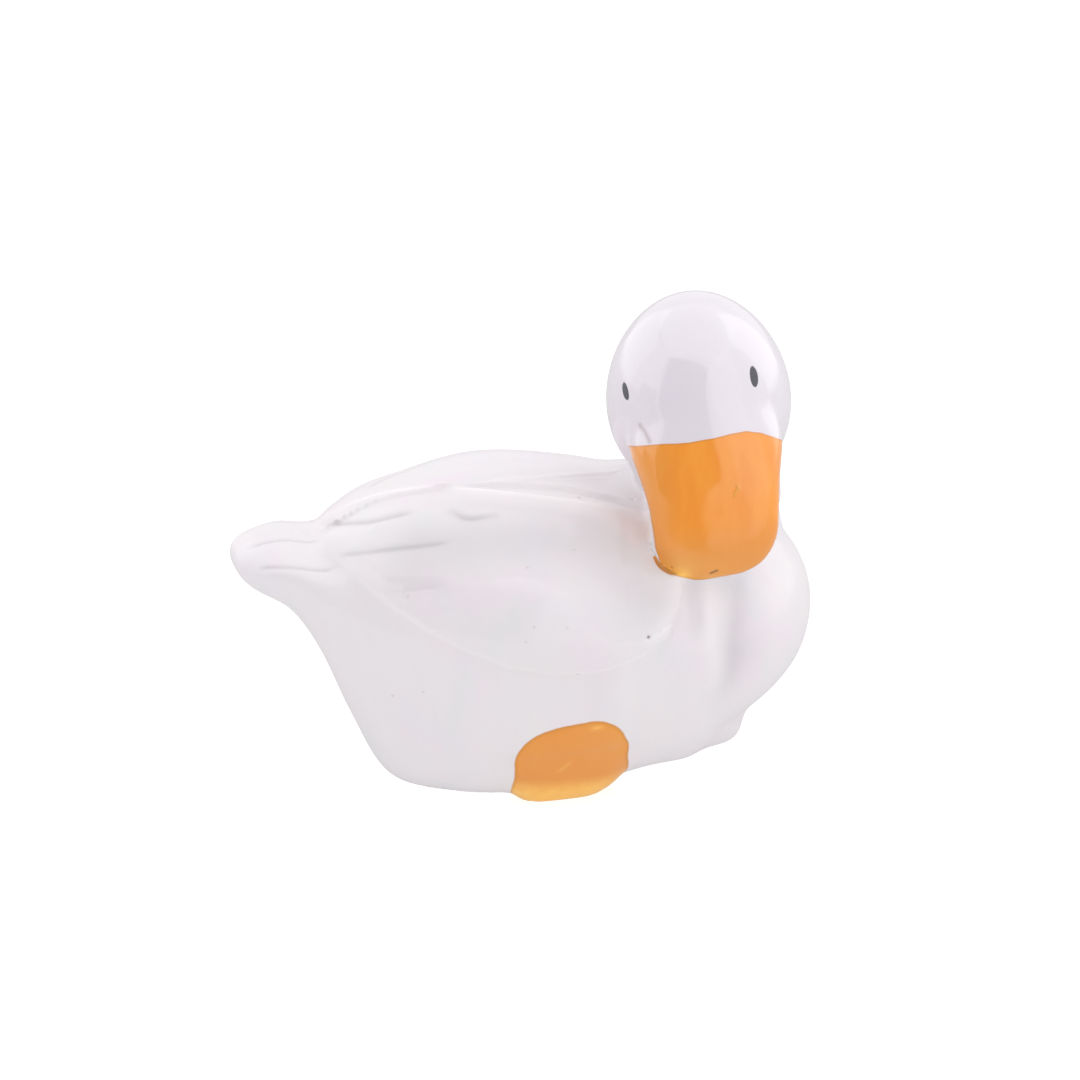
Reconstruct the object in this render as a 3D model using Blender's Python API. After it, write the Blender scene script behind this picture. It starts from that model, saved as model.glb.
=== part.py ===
"""Garden duck figurine: one hand-painted solid casting of a resting duck.

Metres, +Z up, +X towards the breast, +Y towards the duck's own left.
The origin is the middle of the flat base, on the body's middle plane.
"""

import math

import bmesh
import bpy
import numpy as np
from mathutils import Matrix, Vector

MM = 0.001

# Body
BODY_LENGTH = 110 * MM      # tail tip to breast
BODY_WIDTH = 68 * MM        # across the middle, without the wings' relief
BACK_HEIGHT = 52 * MM       # floor to the top of the back, without the wings' relief

# Breast: a ball in plan, deeper below its widest level than above
BREAST_RADIUS = 33 * MM
BREAST_FORWARD = 22.3 * MM  # origin to its middle, along X
BREAST_LEVEL = 27 * MM      # floor to its widest level
BREAST_RISE = 22.5 * MM
BREAST_DROP = 25.5 * MM

# Neck and head
NECK_DIAMETER = 25 * MM
NECK_FORWARD = 35.5 * MM
HEAD_WIDTH = 34.2 * MM
HEAD_LENGTH = 36 * MM       # back of the head to the face
HEAD_TALL = 38.4 * MM
HEAD_TAPER = 0.07           # share by which the crown is narrower than the middle, and the jaw wider
HEAD_HEIGHT = 68.2 * MM     # floor to the middle of the head
HEAD_FORWARD = 33.2 * MM    # origin to the middle of the head, along X
HEAD_ASIDE = -1.5 * MM      # the same along Y
HEAD_TURN = math.radians(-101)
HEAD_ROLL = math.radians(5.5)

# Throat: the solid web that joins the bill to the neck and the breast
THROAT_WIDTH = 22.5 * MM
THROAT_DEPTH = 18 * MM
THROAT_TALL = 26 * MM
THROAT_FORWARD = 33.4 * MM  # origin to its middle, along X
THROAT_ASIDE = -13 * MM     # the same along Y
THROAT_HEIGHT = 49.5 * MM   # the same along Z

# Bill
BILL_LENGTH = 34 * MM       # from where it leaves the brow to its tip
BILL_WIDTH = 28.2 * MM
BILL_ASIDE = 0.4 * MM       # the bill sits this far to the left of the head's middle
BILL_THICKNESS = 11 * MM
BILL_PITCH = math.radians(69)
BILL_ROOT = 8.6 * MM        # from where it leaves the brow to the line where its paint begins

# Eyes: (degrees sideways from the way the head faces, share of HEAD_TALL above the head's middle,
# its own size over the usual one)
EYES = [(-55, 0.148, 0.88), (39, 0.182, 1)]
EYE_WIDTH = 2.1 * MM
EYE_HEIGHT = 4.0 * MM
EYE_MARGIN = 1.2 * MM       # finer skin is kept this far round an eye

# Feet
FOOT_LENGTH = 22.5 * MM     # along the body
FOOT_RISE = 22.8 * MM
FOOT_THICKNESS = 9 * MM
FOOT_FORWARD = 3.5 * MM     # origin to the middle of a foot, along X
FOOT_ASIDE = 26.8 * MM      # the same along Y
FOOT_HEIGHT = 9 * MM        # the same along Z
FOOT_LEAN = math.radians(25)
FOOT_CANT = math.radians(11)
FOOT_SWEEP = 0.14           # the upper edge lies forward of the middle by this share of its height there
FOOT_SQUARE = 2.8

# Relief of the wings and the tail
WING_RELIEF = 1.4 * MM
TIP_RELIEF = 2.6 * MM       # where the wing tips lie over the tail
TIP_FROM = -0.33            # share of BODY_LENGTH where the tips' extra relief is half grown
TIP_BLEND = 0.06            # share of BODY_LENGTH over which it grows
EDGE_WIDTH = 1.5 * MM       # width of the step at a wing's edge
GROOVE_DEPTH = 0.9 * MM
GROOVE_WIDTH = 0.8 * MM
AXIS_HEIGHT = 0.577 * BACK_HEIGHT  # the wings' outlines are given by angle round this axis
ARC = math.radians(1) * BODY_WIDTH / 2  # length along the skin of one degree round the axis
LEFT_WING_FORWARD = 1.5 * MM  # the left wing sits this much further forward than the right
WING_CEILING = 1.077 * BACK_HEIGHT  # the wings' relief dies away below this height, at the neck
RELIEF_FADE = 1 * MM        # over this length, towards the neck and the bill
UPWARD = 0.4                # the tail's grooves are full where the skin faces up at least this much

# Mesh
VOXEL = 0.7 * MM
TRIANGLES = 11000
BODY_RINGS = 72
NECK_RINGS = 24
BILL_RINGS = 36
RING_POINTS = 64
POINT_SHARE = 0.002         # a form's end ring is this share of its size and not quite a point
BLEND_STEPS = 20            # rounds of smoothing where the forms meet
RELIEF_STEPS = 3            # rounds of smoothing over the finished relief
PAINT_OVERLAP = 0.4 * MM    # paint runs this far past the bill and the feet, into the corner
SLIVER_SHARE = 0.12         # no edge is split nearer to its end than this share

WHITE = (0.83, 0.81, 0.84, 1)
ORANGE = (0.84, 0.30, 0.06, 1)
BLACK = (0.02, 0.02, 0.025, 1)

# The forms reach this share of BACK_HEIGHT below the floor, and the base is then cut flat
SUNK = -0.057

# Body stations, tail tip to the front of the base, as shares of BODY_LENGTH, BODY_WIDTH / 2
# and BACK_HEIGHT:
# (forward, half width, bottom, widest level, top, squareness below, squareness above)
BODY_STATIONS = [
    (-0.493, 0.00, 0.81, 0.82, 0.83, 2.0, 2.0),
    (-0.484, 0.15, 0.77, 0.82, 0.86, 2.0, 2.2),
    (-0.452, 0.29, 0.71, 0.81, 0.885, 2.0, 2.6),
    (-0.400, 0.385, 0.63, 0.79, 0.89, 2.0, 3.1),
    (-0.350, 0.46, 0.45, 0.72, 0.87, 2.1, 2.4),
    (-0.300, 0.57, 0.185, 0.64, 0.92, 2.2, 2.0),
    (-0.245, 0.70, -0.03, 0.58, 0.975, 2.55, 2.1),
    (-0.150, 0.86, SUNK, 0.55, 0.995, 3.1, 2.3),
    (-0.040, 0.95, SUNK, 0.54, 0.995, 3.3, 2.8),
    (0.080, 1.00, SUNK, 0.53, 0.975, 2.8, 2.4),
    (0.180, 0.98, SUNK, 0.52, 0.925, 2.3, 2.3),
    (0.260, 0.90, SUNK, 0.47, 0.86, 2.2, 2.1),
    (0.310, 0.66, SUNK, 0.38, 0.72, 2.2, 2.0),
    (0.345, 0.49, SUNK, 0.20, 0.46, 2.8, 2.0),
    (0.371, 0.33, SUNK, 0.11, 0.28, 2.8, 2.2),
    (0.385, 0.00, SUNK, 0.05, 0.12, 2.4, 2.2),
]

# Outline of a folded wing: (share of BODY_LENGTH, degrees from the top round the axis)
WING_OUTLINE = [
    (-0.345, 1.2), (-0.200, 1.2), (-0.060, 1.5), (0.070, 7), (0.150, 16), (0.205, 27),
    (0.240, 45), (0.238, 62), (0.222, 72), (0.190, 81), (0.140, 87), (0.070, 90.5),
    (-0.010, 90.5), (-0.080, 88), (-0.150, 82), (-0.205, 75), (-0.250, 66), (-0.285, 55),
    (-0.312, 44), (-0.330, 35), (-0.350, 22), (-0.356, 10),
]

# Grooves between the long feathers at a wing's tip, from the tip forward, in the same terms
WING_GROOVES = [
    [(-0.275, 5), (-0.245, 9)],
    [(-0.318, 5), (-0.265, 13), (-0.195, 20)],
    [(-0.312, 37), (-0.240, 40), (-0.175, 42.5)],
    [(-0.245, 59.5), (-0.180, 61)],
    [(-0.205, 70), (-0.148, 69)],
]

# Grooves along the top of the tail: (share of BODY_LENGTH, share of BODY_WIDTH / 2)
TAIL_GROOVES = [
    [(-0.480, 0.0), (-0.340, 0.0)],
    [(-0.462, 0.224), (-0.400, 0.274), (-0.322, 0.312)],
]

# Neck stations from inside the body to inside the head:
# (share of the way up to the head's middle, radius over NECK_DIAMETER / 2)
NECK_STATIONS = [
    (0.45, 1.20),
    (0.58, 1.16),
    (0.66, 1.08),
    (0.73, 1.01),
    (0.81, 1.00),
    (0.90, 1.08),
    (1.00, 1.15),
]

# Bill stations along its axis: (share of BILL_LENGTH, share of BILL_WIDTH,
# share of BILL_THICKNESS, squareness). The first ones are round like the face.
BILL_STATIONS = [
    (0.00, 0.86, 2.30, 2.0),
    (0.14, 0.95, 2.00, 2.0),
    (0.29, 1.00, 1.50, 2.1),
    (0.48, 0.92, 1.05, 2.3),
    (0.64, 0.87, 0.86, 2.5),
    (0.76, 0.84, 0.75, 2.5),
    (0.84, 0.78, 0.68, 2.5),
    (0.91, 0.67, 0.60, 2.5),
    (0.965, 0.51, 0.50, 2.5),
    (1.00, 0.26, 0.30, 2.5),
]


def spline_through(stations, count):
    """Rows interpolated through the stations by a Catmull-Rom curve, evenly spaced by station."""
    rows = np.array(stations, float)
    padded = np.vstack([2 * rows[0] - rows[1], rows, 2 * rows[-1] - rows[-2]])
    # The shape closes over at both ends, so it meets each end station square on.
    padded[0][0] = rows[1][0]
    padded[-1][0] = rows[-2][0]
    out = []
    for t in np.linspace(0, len(rows) - 1, count):
        i = min(int(t), len(rows) - 2)
        f = t - i
        a, b, c, d = padded[i:i + 4]
        out.append(0.5 * (2 * b + (c - a) * f + (2 * a - 5 * b + 4 * c - d) * f * f
                          + (3 * b - a - 3 * c + d) * f ** 3))
    return np.array(out)


def loft(name, rings):
    """A closed mesh through rings of points, each ring a list of the same length; the ends are capped."""
    shape = bmesh.new()
    loops = [[shape.verts.new(p) for p in ring] for ring in rings]
    for lower, upper in zip(loops, loops[1:]):
        for i in range(len(lower)):
            j = (i + 1) % len(lower)
            shape.faces.new((lower[i], lower[j], upper[j], upper[i]))
    shape.faces.new(loops[0][::-1])
    shape.faces.new(loops[-1])
    bmesh.ops.recalc_face_normals(shape, faces=shape.faces)
    mesh = bpy.data.meshes.new(name)
    shape.to_mesh(mesh)
    shape.free()
    obj = bpy.data.objects.new(name, mesh)
    bpy.context.scene.collection.objects.link(obj)
    return obj


def power(value, exponent):
    """value to a power, with its sign kept."""
    return math.copysign(abs(value) ** exponent, value)


def body_ring(row):
    """One upright section of the body: a superellipse with its own squareness above and below."""
    forward, half, bottom, level, top, below, above = row
    ring = []
    for k in range(RING_POINTS):
        angle = 2 * math.pi * k / RING_POINTS
        square = above if math.sin(angle) >= 0 else below
        reach = (top - level) if math.sin(angle) >= 0 else (level - bottom)
        ring.append(Vector((
            forward * BODY_LENGTH,
            max(half, POINT_SHARE) * BODY_WIDTH / 2 * power(math.cos(angle), 2 / square),
            (level + max(reach, POINT_SHARE) * power(math.sin(angle), 2 / square)) * BACK_HEIGHT,
        )))
    return ring


def body_form():
    return loft("body_form", [body_ring(row) for row in spline_through(BODY_STATIONS, BODY_RINGS)])


def circle_ring(centre, across, along, half_across, half_along, square=2.0):
    """A superelliptic ring of points round centre, in the plane of two unit vectors."""
    return [
        centre
        + across * half_across * power(math.cos(2 * math.pi * k / RING_POINTS), 2 / square)
        + along * half_along * power(math.sin(2 * math.pi * k / RING_POINTS), 2 / square)
        for k in range(RING_POINTS)
    ]


def head_middle():
    return Vector((HEAD_FORWARD, HEAD_ASIDE, HEAD_HEIGHT))


def neck_form():
    rings = []
    for share, radius in spline_through(NECK_STATIONS, NECK_RINGS):
        centre = Vector((NECK_FORWARD, HEAD_ASIDE * share, share * HEAD_HEIGHT))
        half = radius * NECK_DIAMETER / 2
        rings.append(circle_ring(centre, Vector((1, 0, 0)), Vector((0, 1, 0)), half, half))
    return loft("neck_form", rings)


def ball_form(name, matrix, square=2.0):
    """A sphere of radius 1, made squarer by a larger power, put through a matrix."""
    mesh = bpy.data.meshes.new(name)
    ball = bmesh.new()
    bmesh.ops.create_uvsphere(ball, u_segments=64, v_segments=32, radius=1)
    for vert in ball.verts:
        vert.co /= sum(abs(c) ** square for c in vert.co) ** (1 / square)
    ball.transform(matrix)
    ball.to_mesh(mesh)
    ball.free()
    obj = bpy.data.objects.new(name, mesh)
    bpy.context.scene.collection.objects.link(obj)
    return obj


def breast_form():
    matrix = Matrix.Translation((BREAST_FORWARD, 0, BREAST_LEVEL)) @ Matrix.Diagonal(
        (BREAST_RADIUS, BREAST_RADIUS, BREAST_RISE, 1))
    obj = ball_form("breast_form", matrix)
    for vert in obj.data.vertices:
        if vert.co.z < BREAST_LEVEL:
            vert.co.z = BREAST_LEVEL + (vert.co.z - BREAST_LEVEL) * BREAST_DROP / BREAST_RISE
    return obj


def throat_form():
    size = Matrix.Diagonal((THROAT_WIDTH / 2, THROAT_DEPTH / 2, THROAT_TALL / 2, 1))
    place = Matrix.Translation((THROAT_FORWARD, THROAT_ASIDE, THROAT_HEIGHT))
    return ball_form("throat_form", place @ size)


def head_axes():
    """Facing, sideways and up directions of the turned and tipped head."""
    facing = Vector((math.cos(HEAD_TURN), math.sin(HEAD_TURN), 0))
    up = Matrix.Rotation(HEAD_ROLL, 3, facing) @ Vector((0, 0, 1))
    return facing, up.cross(facing), up


def head_form():
    facing, side, up = head_axes()
    matrix = Matrix((facing * HEAD_LENGTH / 2, side * HEAD_WIDTH / 2, up * HEAD_TALL / 2)).transposed()
    obj = ball_form("head_form", Matrix.Identity(4))
    for vert in obj.data.vertices:
        vert.co.y *= 1 - HEAD_TAPER * vert.co.z
        vert.co = matrix @ vert.co + head_middle()
    return obj


def bill_axes():
    """Where the bill leaves the brow, its own direction, sideways direction and outward normal."""
    facing, side, up = head_axes()
    along = facing * math.cos(BILL_PITCH) - up * math.sin(BILL_PITCH)
    outward = facing * math.sin(BILL_PITCH) + up * math.cos(BILL_PITCH)
    # The bill's upper face is the line that touches the brow, carried straight on downwards.
    reach = math.hypot(HEAD_LENGTH / 2 * math.sin(BILL_PITCH), HEAD_TALL / 2 * math.cos(BILL_PITCH))
    brow = head_middle() + (
        facing * (HEAD_LENGTH / 2) ** 2 * math.sin(BILL_PITCH)
        + up * (HEAD_TALL / 2) ** 2 * math.cos(BILL_PITCH)) / reach
    return brow + side * BILL_ASIDE, along, side, outward


def bill_form():
    brow, along, side, outward = bill_axes()
    rings = []
    for share, width, thickness, square in spline_through(BILL_STATIONS, BILL_RINGS):
        centre = brow + along * (share * BILL_LENGTH) - outward * (max(thickness, 1) * BILL_THICKNESS / 2)
        rings.append(circle_ring(centre, side, outward, width * BILL_WIDTH / 2,
                                 thickness * BILL_THICKNESS / 2, square))
    return loft("bill_form", rings)


def foot_matrix(hand):
    """Where a foot's pad lies; hand is 1 for the duck's left foot and -1 for its right."""
    place = Matrix.Translation((FOOT_FORWARD, hand * FOOT_ASIDE, FOOT_HEIGHT))
    turn = Matrix.Rotation(-hand * FOOT_LEAN, 4, "X") @ Matrix.Rotation(-FOOT_CANT, 4, "Y")
    sweep = Matrix.Shear("XY", 4, (FOOT_SWEEP, 0))
    return place @ turn @ sweep @ Matrix.Diagonal((FOOT_LENGTH / 2, FOOT_THICKNESS / 2, FOOT_RISE / 2, 1))


def foot_form(hand):
    return ball_form("foot_form", foot_matrix(hand), FOOT_SQUARE)


def joined(name, objects):
    """One object holding the meshes of several."""
    whole = bmesh.new()
    for obj in objects:
        whole.from_mesh(obj.data)
        bpy.data.objects.remove(obj)
    mesh = bpy.data.meshes.new(name)
    whole.to_mesh(mesh)
    whole.free()
    obj = bpy.data.objects.new(name, mesh)
    bpy.context.scene.collection.objects.link(obj)
    return obj


def applied(obj):
    """Replaces the object's mesh by what its modifiers make of it."""
    graph = bpy.context.evaluated_depsgraph_get()
    mesh = bpy.data.meshes.new_from_object(obj.evaluated_get(graph))
    obj.modifiers.clear()
    obj.data = mesh
    return obj


def skinned(obj):
    """One skin over the overlapping forms."""
    remesh = obj.modifiers.new("skin", "REMESH")
    remesh.mode = "VOXEL"
    remesh.voxel_size = VOXEL
    smooth = obj.modifiers.new("smooth", "SMOOTH")
    smooth.factor = 0.5
    smooth.iterations = BLEND_STEPS
    return applied(obj)


def smooth_step(value):
    """0 below 0, 1 above 1 and an even curve between."""
    value = np.clip(value, 0, 1)
    return value * value * (3 - 2 * value)


def gap_to_line(points, line):
    """Distance of each point of the plane to a chain of straight lines."""
    line = np.array(line, float)
    gap = np.full(len(points), 1e9)
    for a, b in zip(line, line[1:]):
        share = np.clip((points - a) @ (b - a) / ((b - a) @ (b - a)), 0, 1)
        gap = np.minimum(gap, np.linalg.norm(points - a - share[:, None] * (b - a), axis=1))
    return gap


def depth_inside(points, outline):
    """Distance to a closed outline, positive inside it and negative outside."""
    outline = np.array(outline, float)
    inside = np.zeros(len(points), bool)
    for a, b in zip(outline, np.roll(outline, -1, axis=0)):
        crosses = (a[1] > points[:, 1]) != (b[1] > points[:, 1])
        with np.errstate(divide="ignore", invalid="ignore"):
            at = a[0] + (points[:, 1] - a[1]) * (b[0] - a[0]) / (b[1] - a[1])
        inside ^= crosses & (points[:, 0] < at)
    gap = gap_to_line(points, np.vstack([outline, outline[:1]]))
    return np.where(inside, gap, -gap)


def on_skin(stations):
    """Stations given as length share and degrees, as lengths along the skin."""
    return [(share * BODY_LENGTH, degrees * ARC) for share, degrees in stations]


def bill_depth(points):
    """How deep each point lies inside the bill's outline and thickness, negative outside it."""
    brow, along, side, outward = (np.array(v) for v in bill_axes())
    far = (points - brow) @ along
    stations = np.array(BILL_STATIONS)
    half = np.interp(far / BILL_LENGTH, stations[:, 0], stations[:, 1]) * BILL_WIDTH / 2
    thick = np.interp(far / BILL_LENGTH, stations[:, 0], stations[:, 2])
    depth = (points - brow) @ outward + BILL_THICKNESS * np.where(thick < 1, 0.2 + 0.6 * thick, 1)
    end = BILL_LENGTH - far
    return np.minimum.reduce([half - np.abs((points - brow) @ side), depth, end]), far


def relief_height(points, normals):
    """How far each point of the skin moves out, for the wings, the feathers and the tail."""
    forward, aside, height = points.T
    angle = np.degrees(np.arctan2(np.abs(aside), height - AXIS_HEIGHT))
    skin = np.column_stack([forward - np.where(aside > 0, LEFT_WING_FORWARD, 0), angle * ARC])
    wing = smooth_step(depth_inside(skin, on_skin(WING_OUTLINE)) / EDGE_WIDTH)
    tips = smooth_step(0.5 - (forward / BODY_LENGTH - TIP_FROM) / TIP_BLEND)
    off_bill = smooth_step(-bill_depth(points)[0] / RELIEF_FADE)
    off_neck = smooth_step((WING_CEILING - height) / RELIEF_FADE)
    wing *= np.where(height < AXIS_HEIGHT / 2, 0, off_bill * off_neck)
    rise = wing * (WING_RELIEF + (TIP_RELIEF - WING_RELIEF) * tips)
    for line in WING_GROOVES:
        gap = gap_to_line(skin, on_skin(line))
        rise -= wing * GROOVE_DEPTH * np.exp(-(gap / GROOVE_WIDTH) ** 2)
    plan = np.column_stack([forward, np.abs(aside)])
    upward = smooth_step(normals[:, 2] / UPWARD)
    for line in TAIL_GROOVES:
        gap = gap_to_line(plan, [(share * BODY_LENGTH, offset * BODY_WIDTH / 2) for share, offset in line])
        rise -= (1 - wing) * upward * GROOVE_DEPTH * np.exp(-(gap / GROOVE_WIDTH) ** 2)
    return rise


def add_relief(obj):
    mesh = obj.data
    points = np.empty(len(mesh.vertices) * 3)
    normals = np.empty(len(mesh.vertices) * 3)
    mesh.vertices.foreach_get("co", points)
    mesh.vertices.foreach_get("normal", normals)
    points, normals = points.reshape(-1, 3), normals.reshape(-1, 3)
    points += normals * relief_height(points, normals)[:, None]
    mesh.vertices.foreach_set("co", points.ravel())
    mesh.update()
    smooth = obj.modifiers.new("soften", "SMOOTH")
    smooth.factor = 0.5
    smooth.iterations = RELIEF_STEPS
    applied(obj)


def eye_depth(points):
    """How deep each point lies inside the nearer eye's oval, negative outside it."""
    facing, side, up = (np.array(v) for v in head_axes())
    offset = points - np.array(head_middle())
    depths = []
    for degrees, rise, size in EYES:
        angle = math.radians(degrees)
        across = side * math.cos(angle) - facing * math.sin(angle)
        towards = facing * math.cos(angle) + side * math.sin(angle)
        height = offset @ up - rise * HEAD_TALL
        oval = np.hypot((offset @ across) / (EYE_WIDTH / 2), height / (EYE_HEIGHT / 2)) / size
        depths.append(np.where(offset @ towards > 0, 1 - oval, -9) * EYE_WIDTH / 2)
    return np.max(depths, axis=0)


def orange_depth(points):
    """How deep each point lies inside the orange paint of the bill and the feet."""
    inside, far = bill_depth(points)
    depths = [np.minimum(inside + PAINT_OVERLAP, far - BILL_ROOT)]
    for hand in (1, -1):
        back = np.array(foot_matrix(hand).inverted())
        local = np.abs(points @ back[:3, :3].T + back[:3, 3])
        size = (local ** FOOT_SQUARE).sum(axis=1) ** (1 / FOOT_SQUARE)
        depths.append((1 - size) * FOOT_THICKNESS / 2 + PAINT_OVERLAP)
    return np.max(depths, axis=0)


def thinned(obj):
    """Fewer triangles, kept where the surface bends and round the eyes."""
    points = np.array([vert.co for vert in obj.data.vertices])
    coarse = np.flatnonzero(eye_depth(points) < -EYE_MARGIN)
    group = obj.vertex_groups.new(name="coarse")
    group.add([int(i) for i in coarse], 1, "REPLACE")
    thin = obj.modifiers.new("thin", "DECIMATE")
    thin.vertex_group = group.name
    thin.ratio = TRIANGLES / sum(len(face.vertices) - 2 for face in obj.data.polygons)
    applied(obj)
    obj.vertex_groups.clear()


def cut_flat(obj):
    """Cuts the object off at the floor and closes it with one flat base."""
    shape = bmesh.new()
    shape.from_mesh(obj.data)
    cut = bmesh.ops.bisect_plane(shape, geom=shape.verts[:] + shape.edges[:] + shape.faces[:],
                                 plane_co=(0, 0, 0), plane_no=(0, 0, -1), clear_outer=True)
    for face in shape.faces:
        face.smooth = True
    rim = [item for item in cut["geom_cut"] if isinstance(item, bmesh.types.BMEdge)]
    base = bmesh.ops.contextual_create(shape, geom=rim)["faces"]
    bmesh.ops.recalc_face_normals(shape, faces=shape.faces)
    for face in base:
        face.smooth = False
    shape.to_mesh(obj.data)
    shape.free()


def paint(obj, depth_of, material):
    """Gives a material to the skin where depth_of is positive, with the faces split along its edge.

    The flat base, the one face that isn't shaded smooth, stays unpainted.
    """
    shape = bmesh.new()
    shape.from_mesh(obj.data)
    depths = depth_of(np.array([vert.co for vert in shape.verts]))
    depth = dict(zip(shape.verts, depths))
    # A vertex very near the edge of the paint is taken to lie on it, so that no sliver is cut.
    for edge in shape.edges:
        low, high = sorted(edge.verts, key=lambda vert: abs(depth[vert]))
        if depth[low] * depth[high] < 0 and abs(depth[low]) < SLIVER_SHARE * abs(depth[high] - depth[low]):
            depth[low] = 0
    for edge in list(shape.edges):
        a, b = edge.verts
        if depth[a] * depth[b] < 0:
            vert = bmesh.utils.edge_split(edge, a, depth[a] / (depth[a] - depth[b]))[1]
            depth[vert] = 0
    for face in list(shape.faces):
        on_edge = [vert for vert in face.verts if depth[vert] == 0]
        if len(on_edge) == 2 and len(face.verts) > 3 and not any(
                set(edge.verts) == set(on_edge) for edge in face.edges):
            bmesh.utils.face_split(face, on_edge[0], on_edge[1])
    obj.data.materials.append(material)
    for face in shape.faces:
        if face.smooth and sum(depth[vert] for vert in face.verts) > 0:
            face.material_index = len(obj.data.materials) - 1
    shape.to_mesh(obj.data)
    shape.free()


def paint_material(name, colour, roughness):
    material = bpy.data.materials.new(name)
    material.use_nodes = True
    surface = material.node_tree.nodes["Principled BSDF"]
    surface.inputs["Base Color"].default_value = colour
    surface.inputs["Roughness"].default_value = roughness
    material.diffuse_color = colour
    return material


def main():
    for obj in list(bpy.data.objects):
        bpy.data.objects.remove(obj)
    duck = joined("duck", [body_form(), breast_form(), neck_form(), throat_form(), head_form(),
                           bill_form(), foot_form(1), foot_form(-1)])
    skinned(duck)
    add_relief(duck)
    thinned(duck)
    cut_flat(duck)
    duck.data.materials.append(paint_material("white_paint", WHITE, 0.3))
    paint(duck, orange_depth, paint_material("orange_paint", ORANGE, 0.35))
    paint(duck, eye_depth, paint_material("black_paint", BLACK, 0.3))


main()
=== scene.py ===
"""Garden duck figurine: the finished surface and paint of the casting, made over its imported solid."""

import math

import bpy
import numpy as np
from mathutils import Matrix, Vector


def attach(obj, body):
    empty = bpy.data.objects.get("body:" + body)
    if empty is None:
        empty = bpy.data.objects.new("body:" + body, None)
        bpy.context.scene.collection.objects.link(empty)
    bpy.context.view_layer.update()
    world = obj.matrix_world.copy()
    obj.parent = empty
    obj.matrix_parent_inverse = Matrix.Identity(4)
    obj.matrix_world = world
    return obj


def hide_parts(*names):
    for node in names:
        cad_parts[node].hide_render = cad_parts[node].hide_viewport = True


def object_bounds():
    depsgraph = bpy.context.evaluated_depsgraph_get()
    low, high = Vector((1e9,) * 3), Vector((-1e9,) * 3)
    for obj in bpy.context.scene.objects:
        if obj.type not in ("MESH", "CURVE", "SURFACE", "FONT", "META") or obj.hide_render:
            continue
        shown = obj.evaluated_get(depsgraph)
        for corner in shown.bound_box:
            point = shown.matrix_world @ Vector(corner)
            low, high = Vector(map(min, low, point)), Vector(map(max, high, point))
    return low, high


MM = 0.001

# The head, the bill and the feet, in the solid's own frame
HEAD_MIDDLE = Vector((33.2 * MM, -1.5 * MM, 68.2 * MM))
HEAD_LENGTH = 36 * MM
HEAD_TALL = 38.4 * MM
HEAD_TURN = math.radians(-101)
HEAD_ROLL = math.radians(5.5)
BILL_PITCH = math.radians(69)
BILL_ASIDE = 0.4 * MM
# Edge of the bill's orange from the tip's middle round its right side and its left: (across, along), mm
BILL_EDGE = [
    (0.5, 34.3), (-4.0, 34.1), (-7.6, 32.9), (-10.2, 30.6), (-11.0, 27.5), (-11.1, 24), (-11.8, 18),
    (-13.4, 12), (-15.5, 8), (-15.5, 0), (15.5, 0), (15.5, 8), (14.0, 14), (13.4, 20), (12.9, 25),
    (11.6, 28.6), (9.0, 31.7), (5.0, 33.7),
]
# How deep that orange goes from the bill's upper face, by its place along the bill, both in millimetres
BILL_DEEP = [(0, 11), (20, 10), (26, 8.5), (30, 6), (33, 4.5)]
# Where the bill's paint begins, across the bill from the duck's right to its left, both in millimetres
BILL_ROOT = [
    (-15, 8.8), (-8, 8.7), (-3, 8.9), (1, 8.6), (4.5, 8.1), (7.3, 7.9), (10, 8.5), (12.8, 9.8), (15, 11),
]
# How far the bill's waist is drawn in on its right side: place along the bill, half length and depth in mm
WAIST_AT = 20.5
WAIST_HALF = 6.5
WAIST_DEPTH = 0.8
FOOT_MIDDLE = Vector((3.5 * MM, 26.8 * MM, 9 * MM))
FOOT_HALVES = (11.25 * MM, 4.5 * MM, 11.4 * MM)
FOOT_LEAN = math.radians(25)
FOOT_CANT = math.radians(11)
FOOT_SWEEP = 0.14
FOOT_SQUARE = 2.8           # 2 is a plain oval, and more is squarer
FOOT_PAINT_SIZE = 1.04      # the paint runs this much past the foot's own oval
# Each eye: degrees sideways from the way the head faces, height above the head's middle, width, tallness
# and lean in degrees
EYES = [(-55, 5.7 * MM, 1.7 * MM, 3.4 * MM, -42), (39, 7.4 * MM, 2.0 * MM, 3.7 * MM, 17)]

# The wings' outlines, by place along the body over its length and by degrees from the top round the axis
BODY_LENGTH = 110 * MM
BODY_WIDTH = 68 * MM
AXIS_HEIGHT = 30 * MM
ARC = math.radians(1) * BODY_WIDTH / 2
LEFT_WING_FORWARD = 1.5 * MM
WING_OUTLINE = [
    (-0.345, 1.2), (-0.200, 1.2), (-0.060, 1.5), (0.070, 7), (0.150, 16), (0.205, 27),
    (0.240, 45), (0.238, 62), (0.222, 72), (0.190, 81), (0.140, 87), (0.070, 90.5),
    (-0.010, 90.5), (-0.080, 88), (-0.150, 82), (-0.205, 75), (-0.250, 66), (-0.285, 55),
    (-0.312, 44), (-0.330, 35), (-0.350, 22), (-0.356, 10),
]

# The crack between the bill's corner and the breast, and a drip in the bill's paint, in millimetres
BILL_CRACK = [(20.3, -22.2, 45.3), (20.8, -23.7, 44.5), (22.1, -24.7, 43.7), (23.5, -25.1, 43.1)]
BILL_DRIP = [
    (34.4, -24.8, 59.6), (34.8, -24.7, 59.7), (35.0, -25.0, 59.0), (34.3, -25.0, 58.5), (34.1, -25.2, 57.6),
]

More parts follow.
